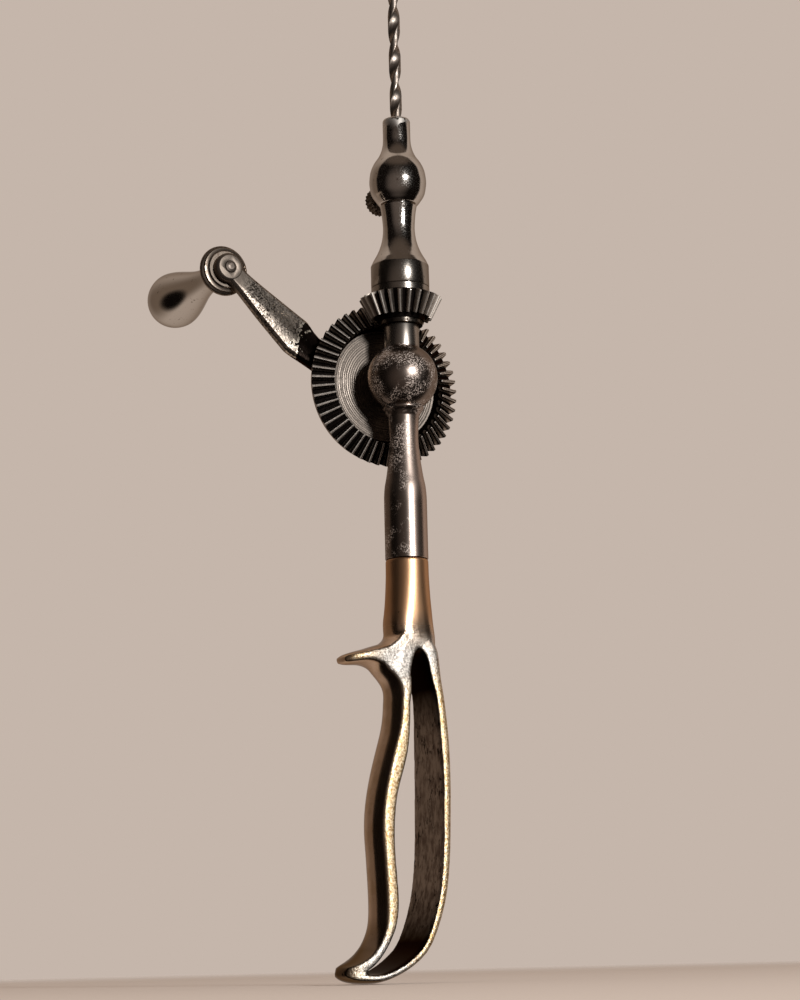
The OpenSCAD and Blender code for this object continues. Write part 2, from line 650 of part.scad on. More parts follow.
module knob_flange() {
    r = flange_d / 2;
    y = knob_y;
    bore = knob_pin_d / 2 + running;
    color("#a98f5f") at_eye() along_y() rotate_extrude() polygon([
        [bore, y], [r - 2.2, y], [r - 1.9, y + 0.7], [r - 0.9, y + 0.9], [r - 0.75, y + 1.5],
        [r - 0.2, y + 1.7], [r, y + 2.1], [r, y + 2.7], [r - 0.4, y + 3.2], [r - 2.2, y + 3.5],
        [r - 3, flange_end], [bore, flange_end]]);
}

module knob() {
    r = knob_d / 2;
    y = flange_end;
    l = knob_end - flange_end;
    bore = knob_pin_d / 2 + running;
    sink = bore + 1.55;
    color("#c4c3bf") at_eye() along_y() rotate_extrude() polygon(concat(
        [[bore, y]],
        [for (q = curve([[0.48, 0], [0.435, 0.1], [0.435, 0.22], [0.51, 0.36], [0.72, 0.53], [0.89, 0.66],
                         [0.985, 0.76], [1, 0.81], [0.935, 0.89], [0.73, 0.96], [0.47, 1]], 5))
            [q[0] * r, y + q[1] * l]],
        [[sink, y + l], [sink, y + l - 2.65], [bore, y + l - 2.65]]));
}

// Every sub-part, lifted to the row's origin

module lifted() { translate([0, 0, axle_height]) children(); }

lifted() handle();
lifted() frame_stem();
lifted() tang_pin();
lifted() spindle_bush();
lifted() thrust_pad();
lifted() spindle_screw();
lifted() axle_stud();
lifted() axle_washer();
lifted() axle_screw();
lifted() spindle();
lifted() pinion();
lifted() pinion_pin();
lifted() thrust_washer();
lifted() chuck_body();
lifted() chuck_nose();
lifted() drill_bit();
lifted() thumbscrew();
lifted() drive_gear();
lifted() gear_bush();
lifted() crank_arm();
lifted() arm_screw(screw_u[0]);  // arm_screw_inner
lifted() arm_screw(screw_u[1]);  // arm_screw_outer
lifted() knob_pin();
lifted() knob_flange();
lifted() knob();
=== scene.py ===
"""Dresses a surgical hand drill in worn nickel, blackened steel and cast brass.

Sizes are in millimetres and become metres where a mesh is placed. Every piece is made where the
CAD model has it: the spindle runs along +Z, the axle along +Y, and they cross at the bevel apex.
"""

import functools
import json
import logging
import math
from dataclasses import dataclass
from enum import Enum
from typing import Sequence

import bmesh
import bpy
from mathutils import Matrix, Vector

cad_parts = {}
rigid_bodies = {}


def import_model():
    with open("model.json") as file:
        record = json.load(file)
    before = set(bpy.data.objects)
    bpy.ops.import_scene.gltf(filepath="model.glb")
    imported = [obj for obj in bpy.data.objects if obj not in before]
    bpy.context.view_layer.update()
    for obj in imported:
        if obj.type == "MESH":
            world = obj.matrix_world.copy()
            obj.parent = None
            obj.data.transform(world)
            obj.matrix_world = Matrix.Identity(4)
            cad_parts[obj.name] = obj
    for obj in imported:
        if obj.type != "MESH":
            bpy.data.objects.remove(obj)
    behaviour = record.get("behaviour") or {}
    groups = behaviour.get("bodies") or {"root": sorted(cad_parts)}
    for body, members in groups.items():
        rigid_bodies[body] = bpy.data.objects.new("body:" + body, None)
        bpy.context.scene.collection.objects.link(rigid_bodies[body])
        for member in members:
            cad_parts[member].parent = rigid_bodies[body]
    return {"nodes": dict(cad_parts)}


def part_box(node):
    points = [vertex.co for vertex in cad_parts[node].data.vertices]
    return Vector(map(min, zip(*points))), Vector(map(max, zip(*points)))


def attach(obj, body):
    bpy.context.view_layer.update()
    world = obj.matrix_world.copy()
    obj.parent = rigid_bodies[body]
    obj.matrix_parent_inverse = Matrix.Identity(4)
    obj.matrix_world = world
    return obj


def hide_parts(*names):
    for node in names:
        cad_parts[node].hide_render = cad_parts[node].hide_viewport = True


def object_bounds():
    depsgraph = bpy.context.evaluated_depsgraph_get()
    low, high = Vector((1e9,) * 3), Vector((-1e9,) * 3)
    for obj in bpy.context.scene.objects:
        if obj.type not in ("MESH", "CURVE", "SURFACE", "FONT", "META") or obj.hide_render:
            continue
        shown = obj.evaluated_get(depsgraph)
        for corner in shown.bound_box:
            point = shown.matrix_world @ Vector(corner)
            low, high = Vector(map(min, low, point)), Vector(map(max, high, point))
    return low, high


for leftover in list(bpy.data.objects):
    bpy.data.objects.remove(leftover)

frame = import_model()
CAD_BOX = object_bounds()

LOG = logging.getLogger("hand_drill")
MM = 0.001
AXLE_HEIGHT = 131.0
APEX = Vector((0, 0, AXLE_HEIGHT))
MERGE_DISTANCE = 1e-6
FLAT_BEND = 0.2
IMAGE_WIDTH = 800
IMAGE_HEIGHT = 1000

Point = tuple[float, float]
Triple = tuple[float, float, float]
Tree = bpy.types.NodeTree
Node = bpy.types.Node
Socket = bpy.types.NodeSocket
Feeds = dict[str, Socket]
Mesh = bmesh.types.BMesh

# What the types of shader nodes start with, and the places of the Mix node's colour sockets
PREFIX = "ShaderNode"
MIX_FACTOR = 0
MIX_A = 6
MIX_B = 7
MIX_RESULT = 2

# How a mask runs between its levels
EVEN = "LINEAR"
SOFT = "SMOOTHSTEP"


class Body(Enum):
    """The drill's moving bodies."""

    FRAME = "frame"
    SPINDLE = "spindle"
    THUMBSCREW = "thumbscrew"
    CRANK = "crank"
    KNOB = "knob"


class Axis(Enum):
    """The two directions that the drill's pieces are turned about."""

    SPINDLE = (0.0, 0.0, 1.0)
    AXLE = (0.0, 1.0, 0.0)


# Colours and shader nodes


def linear(code: str) -> tuple[float, float, float, float]:
    """Turns an sRGB hex colour to linear.

    Args:
        code: the colour, such as "#c4b4aa".

    Returns:
        Red, green and blue in linear light, and an alpha of 1.
    """
    shares = [int(code[i : i + 2], 16) / 255 for i in (1, 3, 5)]
    red, green, blue = (c / 12.92 if c <= 0.04045 else ((c + 0.055) / 1.055) ** 2.4 for c in shares)
    return red, green, blue, 1.0


def per_metre(size: float) -> float:
    """Gives a texture's scale from the size of its grain in millimetres."""
    return 1.0 / (size * MM)


def add_node(tree: Tree, kind: str, inputs: dict | None = None, **settings: object) -> Node:
    """Adds a node with its settings and links.

    Args:
        tree: the node tree it goes in.
        kind: the node's type, without the prefix.
        inputs: by socket name or place, a value or the socket that feeds it.
        **settings: the node's own properties.

    Returns:
        The new node.
    """
    node = tree.nodes.new(PREFIX + kind)
    for key, value in settings.items():
        setattr(node, key, value)
    for key, value in (inputs or {}).items():
        if isinstance(value, Socket):
            tree.links.new(value, node.inputs[key])
        else:
            node.inputs[key].default_value = value
    return node


def step(tree: Tree, value: Socket, low: float, high: float, course: str = EVEN) -> Socket:
    """Maps a value to a mask that runs from 0 at low to 1 at high."""
    levels = {"Value": value, "From Min": low, "From Max": high}
    return add_node(tree, "MapRange", levels, interpolation_type=course).outputs[0]


def ramp(tree: Tree, length: Socket, start: float, stop: float) -> Socket:
    """Maps a length in metres to a mask from 0 at start to 1 at stop, which are in millimetres."""
    return step(tree, length, start * MM, stop * MM)


def spread(tree: Tree, mask: Socket, low: float, high: float) -> Socket:
    """Maps a mask from 0 to 1 onto a range."""
    inputs = {"Value": mask, "To Min": low, "To Max": high}
    return add_node(tree, "MapRange", inputs).outputs[0]


def opposite(tree: Tree, mask: Socket) -> Socket:
    """Turns a mask over, so that 1 becomes 0."""
    return spread(tree, mask, 1.0, 0.0)


def calculate(tree: Tree, operation: str, *values: float | Socket) -> Socket:
    """Works out a Math node's operation on values and masks."""
    return add_node(tree, "Math", dict(enumerate(values)), operation=operation).outputs[0]


def product(tree: Tree, first: Socket, second: Socket) -> Socket:
    """Multiplies two masks."""
    return calculate(tree, "MULTIPLY", first, second)


def largest(tree: Tree, first: Socket, second: Socket) -> Socket:
    """Gives the larger of two masks."""
    return calculate(tree, "MAXIMUM", first, second)


def measure(tree: Tree, operation: str, *vectors: Sequence[float] | Socket) -> Socket:
    """Works out a Vector Math node's operation that gives one number."""
    inputs = dict(enumerate(vectors))
    return add_node(tree, "VectorMath", inputs, operation=operation).outputs["Value"]


def mix(tree: Tree, mask: Socket, first: str | Socket, second: str | Socket) -> Socket:
    """Mixes two colours, each a hex code or a socket, by a mask."""
    inputs = {MIX_FACTOR: mask}
    for key, colour in ((MIX_A, first), (MIX_B, second)):
        inputs[key] = linear(colour) if isinstance(colour, str) else colour
    return add_node(tree, "Mix", inputs, data_type="RGBA").outputs[MIX_RESULT]


def attribute(tree: Tree, name: str) -> Socket:
    """Reads a mark that the mesh carries."""
    return add_node(tree, "Attribute", attribute_name=name).outputs["Fac"]


def height(tree: Tree, place: Socket) -> Socket:
    """Gives the height of a place, in metres."""
    return add_node(tree, "SeparateXYZ", {"Vector": place}).outputs["Z"]


def from_axle(tree: Tree, place: Socket) -> Socket:
    """Gives the distance from the crank's axle, in metres."""
    centred = {"Vector": place, "Location": (0.0, 0.0, -AXLE_HEIGHT * MM), "Scale": (1.0, 0.0, 1.0)}
    return measure(tree, "LENGTH", add_node(tree, "Mapping", centred).outputs[0])


def bump(tree: Tree, relief: Socket, depth: float, strength: float | Socket) -> Socket:
    """Makes a normal bumped by a relief from 0 to 1, with a depth in millimetres."""
    inputs = {"Height": relief, "Distance": depth * MM, "Strength": strength}
    return add_node(tree, "Bump", inputs).outputs[0]


@dataclass(frozen=True)
class Grain:
    """Irregular grains of a size in millimetres, between the noise levels of their edge and core."""

    DETAIL = 4.0
    ROUGHNESS = 0.62
    size: float
    low: float
    high: float

    def mask(self, tree: Tree, place: Socket) -> Socket:
        """Draws the grains on some coordinates, as a mask from 0 to 1."""
        noise = {"Vector": place, "Detail": self.DETAIL, "Roughness": self.ROUGHNESS}
        drawn = add_node(tree, "TexNoise", {**noise, "Scale": per_metre(self.size)}).outputs[0]
        return step(tree, drawn, self.low, self.high, SOFT)


@dataclass(frozen=True)
class Finish:
    """A metal finish, and the record's material slot that it stands for, which is not used.

    In the finishes below, a band is the two places in millimetres where a change starts and is full,
    a relief is a bump's depth in millimetres and its strength, and smooth and rough are roughnesses.
    """

    EDGE_TINT = "#b5ada6"
    name: str
    slot: str

    @functools.cache
    def material(self) -> bpy.types.Material:
        """Gives the finish's material, made the first time it is asked for."""
        made = bpy.data.materials.new(self.name)
        made.use_nodes = True
        tree = made.node_tree
        tree.nodes.clear()
        place = add_node(tree, "TexCoord").outputs["Object"]
        metal = {"Metallic": 1.0, "Specular Tint": linear(self.EDGE_TINT)}
        shader = add_node(tree, "BsdfPrincipled", {**metal, **self.paint(tree, place)})
        add_node(tree, "OutputMaterial", {"Surface": shader.outputs[0]})
        return made

    def paint(self, tree: Tree, place: Socket) -> Feeds:
        """Makes the finish's pattern.

        Args:
            tree: the material's node tree.
            place: the piece's own coordinates, in metres.

        Returns:
            What feeds the shader, by the names of its inputs.
        """
        raise NotImplementedError


@dataclass(frozen=True)
class PolishedNickel(Finish):
    """Nickel plate, with a few tarnished freckles and fine rubbing marks.

    Buffed, it is a clear mirror that shows the room's shapes. Brushed, it blurs them to soft bands.
    """

    plate: str = "#cbc4bc"
    freckle: str = "#6f655b"
    freckles: Grain = Grain(1.6, 0.63, 0.74)
    rubbing: Grain = Grain(0.35, 0.4, 0.75)
    patches: Grain = Grain(3.4, 0.46, 0.53)
    worn_band: Point = (209.0, 214.0)
    smooth: float = 0.08
    rough: float = 0.26
    worn: float = 0.55
    relief: Point = (0.01, 0.12)

    def paint(self, tree: Tree, place: Socket) -> Feeds:
        """Makes the freckles, the rubbing marks and the patches worn dull round the chuck's mouth."""
        rubbing = self.rubbing.mask(tree, place)
        mouth = ramp(tree, height(tree, place), *self.worn_band)
        patches = product(tree, mouth, self.patches.mask(tree, place))
        rubbed = spread(tree, rubbing, self.smooth, self.rough)
        return {
            "Base Color": mix(tree, self.freckles.mask(tree, place), self.plate, self.freckle),
            "Roughness": largest(tree, rubbed, spread(tree, patches, 0.0, self.worn)),
            "Normal": bump(tree, rubbing, *self.relief),
        }


@dataclass(frozen=True)
class BlackenedSteel(Finish):
    """Steel gone black, with pale specks where patches of plate still cling.

    It is nearly black face on, so that lamp and cloth show as bright shapes. The neck is clean, and
    the stem's side towards the lamp and the camera's right is painted pale, a painted sheen.
    """

    black: str = "#877a71"
    speck: str = "#b5aaa2"
    clean: str = "#a39a91"
    # The painted sheen's colour, on the stem's side towards the lamp
    rubbed: str = "#bda89b"
    specks: Grain = Grain(0.45, 0.5, 0.58)
    patches: Grain = Grain(7.0, 0.46, 0.6)
    speck_dullness: float = 0.25
    speck_metal: float = 0.4
    smooth: float = 0.27
    rough: float = 0.37
    relief: Point = (0.03, 0.3)
    neck_band: Point = (9.4, 10.2)
    ball_band: Point = (-16.0, -9.0)
    rust_band: Point = (-40.0, -34.0)
    # Where the painted sheen starts and is full, and the way it faces: the camera's right, towards the lamp
    sheen_band: Point = (0.8, 3.2)
    sheen_way: Triple = (0.873, -0.488, 0.0)

    def paint(self, tree: Tree, place: Socket) -> Feeds:
        """Makes the specks, the clean neck, the ball's higher polish and the painted sheen on the stem's
        side.
        """
        z = height(tree, place)
        neck, ball, rust = (
            ramp(tree, z, AXLE_HEIGHT + start, AXLE_HEIGHT + stop)
            for start, stop in (self.neck_band, self.ball_band, self.rust_band)
        )
        under_ball = opposite(tree, ball)
        # Painted sheen: the stem's side towards the lamp is painted paler and kept free of specks
        side = ramp(tree, measure(tree, "DOT_PRODUCT", place, self.sheen_way), *self.sheen_band)
        rubbed = product(tree, side, under_ball)
        specked = product(tree, opposite(tree, neck), opposite(tree, rubbed))
        specks = product(tree, self.specks.mask(tree, place), self.patches.mask(tree, place))
        shown = product(tree, specks, specked)
        worn = mix(tree, shown, mix(tree, rubbed, self.black, self.rubbed), self.speck)
        polish = spread(tree, product(tree, rust, under_ball), self.smooth, self.rough)
        return {
            "Base Color": mix(tree, neck, worn, self.clean),
            "Roughness": calculate(tree, "MULTIPLY_ADD", shown, self.speck_dullness, polish),
            "Metallic": spread(tree, shown, 1.0, self.speck_metal),
            "Normal": bump(tree, shown, *self.relief),
        }


@dataclass(frozen=True)
class CastBrass(Finish):
    """Cast brass under worn nickel.

    The flanks are smooth and warm, so that they mirror dark bands. The rims are granular like sand and
    sparkle gold, or silver where plate is left. The walls of the window are brown with tarnish and
    flecked with soot, and both their ends are black with painted shade.
    """

    gold: str = "#f3e0be"
    shade: str = "#ad834c"
    flank: str = "#d0b6a0"
    rubbed: str = "#c3a88d"
    neck: str = "#cda079"
    toe: str = "#6f5d4b"
    silver: str = "#e6ded4"
    dross: str = "#8f867d"
    tarnish: str = "#b0a296"
    grime: str = "#7b6d64"
    # The colour of the soot flecks and pits, and also of the painted shade at both ends of the window's
    # walls
    soot_and_shade: str = "#1d1815"
    sand: Grain = Grain(0.62, 0.32, 0.66)
    patches: Grain = Grain(7.0, 0.42, 0.62)
    pits: Grain = Grain(1.3, 0.68, 0.73)
    scratches: Grain = Grain(1.7, 0.36, 0.62)
    flecks: Grain = Grain(0.8, 0.54, 0.6)
    draw: Triple = (1.0, 1.0, 0.4)
    # Painted shade: the walls darken to black under the arch and towards the window's foot, between these
    # heights
    arch_shade_band: Point = (20.0, 34.0)
    foot_shade_band: Point = (-24.0, -41.0)
    neck_band: Point = (48.0, 58.0)
    toe_band: Point = (-33.0, -43.0)
    smooth: float = 0.17
    rough: float = 0.42
    neck_rough: float = 0.37
    sand_depth: float = 0.07
    sand_strength: Point = (0.06, 0.7)

    def paint(self, tree: Tree, place: Socket) -> Feeds:
        """Makes the rims, the last plate and the tarnished walls, which the mesh marks, and the painted
        shade at both ends of the walls.
        """
        marks = (Handle.EDGE_MARK, Handle.INNER_MARK, Handle.PLATE_MARK)
        edge, inner, plated = (attribute(tree, mark) for mark in marks)
        z = height(tree, place)
        bands = (self.neck_band, self.toe_band, self.arch_shade_band, self.foot_shade_band)
        neck, toe, arch_shade, low = (ramp(tree, z, *band) for band in bands)
        sand = self.sand.mask(tree, place)
        patches = self.patches.mask(tree, place)
        drawn = add_node(tree, "Mapping", {"Vector": place, "Scale": self.draw}).outputs[0]
        metal = mix(tree, plated, self.gold, self.silver)
        rim = mix(tree, sand, mix(tree, plated, self.shade, self.dross), metal)
        flank = mix(tree, toe, mix(tree, patches, self.flank, self.rubbed), self.toe)
        skin = mix(tree, edge, mix(tree, neck, flank, self.neck), rim)
        flecks = product(tree, patches, self.flecks.mask(tree, drawn))
        stained = mix(tree, self.scratches.mask(tree, drawn), self.grime, self.tarnish)
        # Painted shade turns the walls black under the arch and at the window's foot
        wall = mix(tree, largest(tree, arch_shade, low), mix(tree, flecks, stained, self.soot_and_shade), self.soot_and_shade)
        whole = mix(tree, inner, skin, wall)
        dull = spread(tree, largest(tree, edge, inner), self.smooth, self.rough)
        return {
            "Base Color": mix(tree, self.pits.mask(tree, place), whole, self.soot_and_shade),
            "Roughness": largest(tree, dull, spread(tree, neck, self.smooth, self.neck_rough)),
            "Normal": bump(tree, sand, self.sand_depth, spread(tree, edge, *self.sand_strength)),
        }


@dataclass(frozen=True)
class CutTeeth(Finish):
    """Milled gear steel: painted shade in the roots and under the lands, a painted highlight on each flank,
    grey tip lands.

    Clear, shadow and rubbed are shares of a tooth's height where a change starts and is full.
    """

    # The root's colour is painted shade, in the roots and under the lands; the flank's is a painted
    # highlight band
    root: str = "#211c1a"
    flank: str = "#a79d93"
    land: str = "#8d847b"
    clear: Point = (0.15, 0.35)
    shadow: Point = (0.7, 0.5)
    rubbed: Point = (0.8, 1.0)
    marks: Grain = Grain(0.5, 0.3, 0.7)
    smooth: float = 0.24
    rough: float = 0.4
    relief: Point = (0.02, 0.15)

    def paint(self, tree: Tree, place: Socket) -> Feeds:
        """Makes the change from root to land, which the mesh marks."""
        rise = attribute(tree, BevelGear.LAND_MARK)
        # Painted shade in the roots and under the land, with a painted highlight on the flank between them
        clear, out_of_land_shade, rubbed = (step(tree, rise, *band) for band in (self.clear, self.shadow, self.rubbed))
        flank = mix(tree, product(tree, clear, out_of_land_shade), self.root, self.flank)
        marks = self.marks.mask(tree, place)
        return {
            "Base Color": mix(tree, rubbed, flank, self.land),
            "Roughness": spread(tree, marks, self.smooth, self.rough),
            "Normal": bump(tree, marks, *self.relief),
        }


@dataclass(frozen=True)
class TurnedFace(Finish):
    """Steel faced on a lathe: fine rings about the axle catch the lamp, under mottled stains."""

    RING_DETAIL = 3.0
    RING_ROUGHNESS = 0.7
    pale: str = "#91867c"
    dark: str = "#2f2925"
    ring_pitch: float = 0.4
    ring_levels: Point = (0.38, 0.66)
    stains: Grain = Grain(1.2, 0.38, 0.64)
    stain_share: Point = (0.4, 1.0)
    smooth: float = 0.32
    rough: float = 0.46
    relief: Point = (0.04, 0.5)

    def paint(self, tree: Tree, place: Socket) -> Feeds:
        """Makes the rings and the stains."""
        noise = {"W": from_axle(tree, place), "Detail": self.RING_DETAIL, "Roughness": self.RING_ROUGHNESS}
        turned = {**noise, "Scale": per_metre(self.ring_pitch)}
        rings = add_node(tree, "TexNoise", turned, noise_dimensions="1D").outputs[0]
        stains = self.stains.mask(tree, place)
        both = product(tree, step(tree, rings, *self.ring_levels), spread(tree, stains, *self.stain_share))
        return {
            "Base Color": mix(tree, both, self.pale, self.dark),
            "Roughness": spread(tree, stains, self.smooth, self.rough),
            "Normal": bump(tree, rings, *self.relief),
        }


@dataclass(frozen=True)
class PittedNickel(Finish):
    """Nickel plate that rust has wrinkled and pitted: satin grey crowded with dark specks.

    Beside the gear a painted shadow of the gear's teeth lies black on the arm, with a pale ragged line
    along its edge.
    """

    plate: str = "#a3978b"
    eye: str = "#71675e"
    pit: str = "#2f2823"
    # The painted shadow of the gear's teeth, and the pale line along its edge
    gear_shadow: str = "#1c1613"
    shadow_edge_line: str = "#e2d5c3"
    pits: Grain = Grain(0.6, 0.44, 0.58)
    pit_rise: float = -0.3
    wrinkles: Grain = Grain(1.5, 0.35, 0.65)
    wrinkle_depth: float = 0.09
    wrinkle_strength: Point = (0.1, 0.28)
    clouds: Grain = Grain(9.0, 0.35, 0.6)
    cloud_share: Point = (0.35, 1.0)
    # The painted shadow's ragged edge, and its reach from the axle
    shadow_edge_grain: Grain = Grain(2.2, 0.3, 0.7)
    shadow_reach: float = 30.5
    ragged: float = 5.0
    gear_shadow_band: Point = (0.0, -0.2)
    shadow_edge_band: Point = (1.0, 0.6)
    eye_band: Point = (56.0, 52.0)
    smooth: float = 0.33
    rough: float = 0.46

    def paint(self, tree: Tree, place: Socket) -> Feeds:
        """Makes the pits, thicker where a cloud of them has spread, and the painted shadow of the gear's
        teeth.
        """
        radius = from_axle(tree, place)
        blade = ramp(tree, radius, *self.eye_band)
        cloud = spread(tree, self.clouds.mask(tree, place), *self.cloud_share)
        shown = product(tree, product(tree, self.pits.mask(tree, place), cloud), blade)
        # Painted shadow of the gear's teeth: black inside a ragged radius about the axle, a pale line along
        # its edge
        reach = calculate(tree, "MULTIPLY_ADD", self.shadow_edge_grain.mask(tree, place), -self.ragged * MM, radius)
        edge = self.shadow_reach - self.ragged / 2
        gear_shadow, shadow_edge_line = (
            ramp(tree, reach, edge + start, edge + stop) for start, stop in (self.gear_shadow_band, self.shadow_edge_band)
        )
        clean = mix(tree, blade, self.eye, self.plate)
        plate = mix(tree, shadow_edge_line, mix(tree, shown, clean, self.pit), self.shadow_edge_line)
        raised = calculate(tree, "MULTIPLY_ADD", shown, self.pit_rise, self.wrinkles.mask(tree, place))
        return {
            "Base Color": mix(tree, gear_shadow, plate, self.gear_shadow),
            "Roughness": spread(tree, blade, self.rough, self.smooth),
            "Normal": bump(tree, raised, self.wrinkle_depth, spread(tree, blade, *self.wrinkle_strength)),
        }


@dataclass(frozen=True)
class WornMetal(Finish):
    """A plain turned metal with rubbing marks and stains: screws, pins, bushes, the bit and the flange."""

    clean: str = "#a09a93"
    stain: str = "#57504a"
    stains: Grain = Grain(1.1, 0.4, 0.68)
    smooth: float = 0.2
    rough: float = 0.4
    relief: Point = (0.02, 0.25)

    def paint(self, tree: Tree, place: Socket) -> Feeds:
        """Makes the stains."""
        stains = self.stains.mask(tree, place)
        return {
            "Base Color": mix(tree, stains, self.clean, self.stain),
            "Roughness": spread(tree, stains, self.smooth, self.rough),
            "Normal": bump(tree, stains, *self.relief),
        }


NICKEL = PolishedNickel("buffed_nickel_plate", "nickel_plate")
KNOB_NICKEL = PolishedNickel("hand_polished_nickel", "nickel_plate", smooth=0.04, rough=0.1)
SATIN_NICKEL = PolishedNickel(
    "brushed_nickel_plate", "nickel_plate", plate="#a0988f", smooth=0.17, rough=0.27
)
BLACKENED = BlackenedSteel("speckled_black_steel", "blackened_steel")
HANDLE_BRASS = CastBrass("cast_brass_worn_nickel", "worn_nickel_brass")
GEAR_TEETH = CutTeeth("cut_gear_steel", "gear_steel")
# The pinion's roots get the same painted shade; its shadow band lies above the teeth, so its lands get none
PINION_TEETH = CutTeeth(
    "cut_pinion_steel", "gear_steel", flank="#968b81", land="#efe6db", shadow=(1.4, 1.2),
    smooth=0.36, rough=0.5,
)
GEAR_FACE = TurnedFace("turned_gear_face", "gear_steel")
ARM_PLATE = PittedNickel("rust_pitted_nickel", "pitted_nickel")
RUBBED_STEEL = WornMetal(
    "rubbed_tooth_edges", "gear_steel", clean="#efe8df", stain="#c4bab0", smooth=0.3, rough=0.5
)
FLANGE_BRASS = WornMetal("worn_brass", "brass", clean="#8f8377", stain="#5d5147", smooth=0.3, rough=0.42)
BUSH_BRONZE = WornMetal("bush_bronze", "bronze", clean="#b08552", stain="#5d4126")
RIVET_NICKEL = WornMetal(
    "dulled_rivet", "nickel_plate", clean="#83786f", stain="#61574f", smooth=0.45, rough=0.55
)
BRIGHT_STEEL = WornMetal("turned_bright_steel", "bright_steel", clean="#bab5ae", stain="#7d766e", rough=0.3)
DARK_STEEL = WornMetal("turned_dark_steel", "dark_steel", clean="#5a534c", stain="#2b2622", rough=0.5)
BIT_STEEL = WornMetal(
    "ground_bit_steel", "bit_steel", clean="#a5998f", stain="#6b5f55", smooth=0.36, rough=0.5
)


# Meshes


def smooth_line(points: Sequence[Point], spans: int = 8) -> list[Point]:
    """Runs a smooth line through some profile points, with spans between each two of them."""
    line = []
    last = len(points) - 1
    for i in range(last):
        a, b, c, d = (Vector(points[max(0, min(last, i + k))]) for k in (-1, 0, 1, 2))
        for k in range(spans):
            t = k / spans
            bend = (2 * a - 5 * b + 4 * c - d) * t**2 + (3 * b - a - 3 * c + d) * t**3
            line.append(0.5 * (2 * b + (c - a) * t + bend))
    line.append(Vector(points[last]))
    return [(p.x, p.y) for p in line]


def arc(radius: float, start: float, stop: float, parts: int) -> list[Point]:
    """Gives points on a circle about the profile's origin, between two angles in degrees."""
    angles = [math.radians(start + (stop - start) * k / parts) for k in range(parts + 1)]
    return [(radius * math.cos(a), radius * math.sin(a)) for a in angles]


def share(value: float, start: float = 0.0, span: float = 1.0) -> float:
    """Gives how far a value has come over a span from its start, between 0 and 1."""
    return min(1.0, max(0.0, (value - start) / span))


@dataclass
class Lathe:
    """Turns profiles about one of the drill's axes."""

    axis: Axis
    centre: Vector
    steps: int = 128

    def turn(self, profile: Sequence[Point], bored: bool = False) -> Mesh:
        """Spins a profile into a closed solid.

        Args:
            profile: radius and place along the axis of each point, in millimetres.
            bored: whether the profile closes on itself round a bore.

        Returns:
            The solid, in metres.
        """
        along = Vector(self.axis.value)
        mesh = bmesh.new()
        rim = [mesh.verts.new((self.centre + Vector((r, 0, 0)) + h * along) * MM) for r, h in profile]
        pairs = list(zip(rim, rim[1:])) + ([(rim[-1], rim[0])] if bored else [])
        edges = [mesh.edges.new(pair) for pair in pairs]
        bmesh.ops.spin(
            mesh, geom=rim + edges, cent=self.centre * MM, axis=along, angle=math.tau,
            steps=self.steps, use_merge=True,
        )
        bmesh.ops.remove_doubles(mesh, verts=mesh.verts[:], dist=MERGE_DISTANCE)
        bmesh.ops.recalc_face_normals(mesh, faces=mesh.faces[:])
        return mesh


def store(mesh: Mesh, name: str) -> bpy.types.Mesh:
    """Keeps a mesh as data, and uses it up."""
    data = bpy.data.meshes.new(name)
    mesh.to_mesh(data)
    mesh.free()
    return data


def add_object(name: str, data: bpy.types.ID) -> bpy.types.Object:
    """Puts a new object in the scene."""
    made = bpy.data.objects.new(name, data)
    bpy.context.scene.collection.objects.link(made)
    return made


def cad_copy(node: str) -> Mesh:
    """Copies a CAD node's mesh, with its loose triangles joined."""
    mesh = bmesh.new()
    mesh.from_mesh(frame["nodes"][node].data)
    bmesh.ops.remove_doubles(mesh, verts=mesh.verts[:], dist=MERGE_DISTANCE)
    return mesh


def round_edges(mesh: Mesh, edges: Sequence[bmesh.types.BMEdge], width: float) -> dict:
    """Rounds some of a solid's edges, by a width in millimetres, and gives what that made."""
    return bmesh.ops.bevel(
        mesh, geom=edges, offset=width * MM, offset_type="OFFSET", segments=2, profile=0.5,
        affect="EDGES", clamp_overlap=False, material=-1,
    )


def ease_edges(mesh: Mesh, width: float, angle: float = 30.0) -> None:
    """Rounds a solid's edges that bend more than an angle in degrees, as handling does."""
    flat = math.radians(FLAT_BEND)
    bmesh.ops.dissolve_limit(mesh, angle_limit=flat, verts=mesh.verts[:], edges=mesh.edges[:])
    sharp = [e for e in mesh.edges if e.is_manifold and e.calc_face_angle() > math.radians(angle)]
    round_edges(mesh, sharp, width)


def set_piece(
    mesh: Mesh,
    name: str,
    body: Body,
    finish: Finish,
    stands_for: Sequence[str] = (),
    crease: float = 32.0,
    others: Sequence[Finish] = (),
) -> bpy.types.Object:
    """Makes a finished mesh one of the drill's pieces.

    Args:
        mesh: the mesh in its place, which is used up.
        name: the piece's name.
        body: the body it moves with.
        finish: its finish.
        stands_for: the CAD nodes that it is shown instead of.
        crease: edges that bend more than this many degrees stay crisp.
        others: the finishes of faces whose material index is 1 and more.

    Returns:
        The piece.
    """
    data = store(mesh, name)
    if "custom_normal" in data.attributes:
        data.attributes.remove(data.attributes["custom_normal"])
    data.shade_smooth()
    data.set_sharp_from_angle(angle=math.radians(crease))
    for layer in (finish, *others):
        data.materials.append(layer.material())
    piece = add_object(name, data)
    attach(piece, body.value)
    if stands_for:
        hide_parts(*stands_for)
    LOG.info("%s: %d faces on %s", name, len(data.polygons), body.value)
    return piece


def dress_node(node: str, finish: Finish) -> None:
    """Gives a CAD node that keeps its shape a finish."""
    shown = frame["nodes"][node]
    shown.material_slots[0].material = finish.material()
    LOG.info("%s: dressed in %s", node, finish.name)


def middle(node: str) -> Vector:
    """Gives the middle of a CAD node's box, in millimetres."""
    low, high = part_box(node)
    return (low + high) / (2 * MM)


# Sub-assemblies


